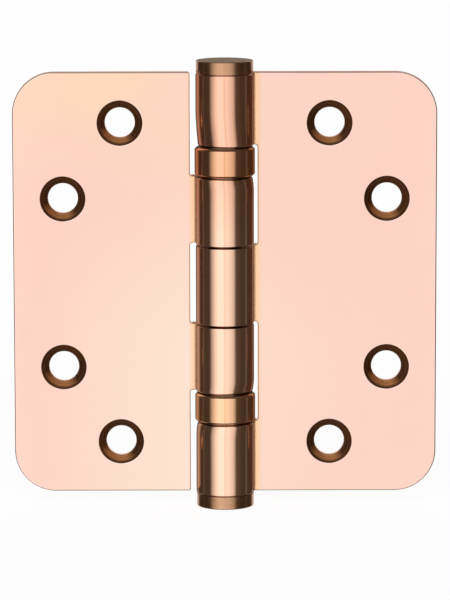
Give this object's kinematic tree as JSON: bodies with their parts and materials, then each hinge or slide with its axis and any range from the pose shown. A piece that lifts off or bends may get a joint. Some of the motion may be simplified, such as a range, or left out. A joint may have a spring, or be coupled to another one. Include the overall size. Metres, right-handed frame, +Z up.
{
  "type": "ball bearing hinge",
  "caption": "Butt hinge with two square round-cornered leaves rolled into knuckles round a pin, countersunk screw holes, and ball bearing collars between the knuckles.",
  "frame": {"origin": "on the pin axis, at mid-height of the leaves", "axes": "+Z up along the pin, +X towards the right leaf's free edge, +Y out of the backs of the leaves; the countersunk faces look along -Y; rest pose is opened flat"},
  "size_m": [0.102, 0.0144, 0.1082],
  "materials": {
    "polished_copper": "mirror-polished copper-coloured plating on steel",
    "satin_copper": "satin-turned copper-coloured plating on steel",
    "bearing_steel": "ground hardened steel, dark with oil",
    "cage_brass": "plain pressed brass"
  },
  "bodies": {
    "frame_leaf": {"right_leaf": "polished_copper", "hinge_pin": "satin_copper", "bottom_cap": "satin_copper", "upper_bearing_top_race": "bearing_steel", "lower_bearing_bottom_race": "bearing_steel"},
    "door_leaf": {"left_leaf": "polished_copper", "upper_bearing_bottom_race": "bearing_steel", "lower_bearing_top_race": "bearing_steel"},
    "upper_ball_ring": {"upper_bearing_cage": "cage_brass", "upper_bearing_balls": "bearing_steel"},
    "lower_ball_ring": {"lower_bearing_cage": "cage_brass", "lower_bearing_balls": "bearing_steel"},
    "upper_collar": {"upper_bearing_collar": "polished_copper"},
    "lower_collar": {"lower_bearing_collar": "polished_copper"}
  },
  "joints": [
    {"name": "leaf_swing", "type": "hinge", "parent": "frame_leaf", "child": "door_leaf", "pos_m": [0, 0, 0], "axis": [0, 0, 1], "range_deg": [-90, 180]},
    {"name": "upper_ball_travel", "type": "hinge", "parent": "frame_leaf", "child": "upper_ball_ring", "pos_m": [0, 0, 0.02985], "axis": [0, 0, 1], "range_deg": [-45, 90]},
    {"name": "lower_ball_travel", "type": "hinge", "parent": "frame_leaf", "child": "lower_ball_ring", "pos_m": [0, 0, -0.02985], "axis": [0, 0, 1], "range_deg": [-45, 90]},
    {"name": "upper_collar_spin", "type": "hinge", "parent": "frame_leaf", "child": "upper_collar", "pos_m": [0, 0, 0.02985], "axis": [0, 0, 1], "continuous": true},
    {"name": "lower_collar_spin", "type": "hinge", "parent": "frame_leaf", "child": "lower_collar", "pos_m": [0, 0, -0.02985], "axis": [0, 0, 1], "continuous": true}
  ],
  "couplings": [
    {"joint": "upper_ball_travel", "follows": "leaf_swing", "ratio": 0.5},
    {"joint": "lower_ball_travel", "follows": "leaf_swing", "ratio": 0.5}
  ]
}
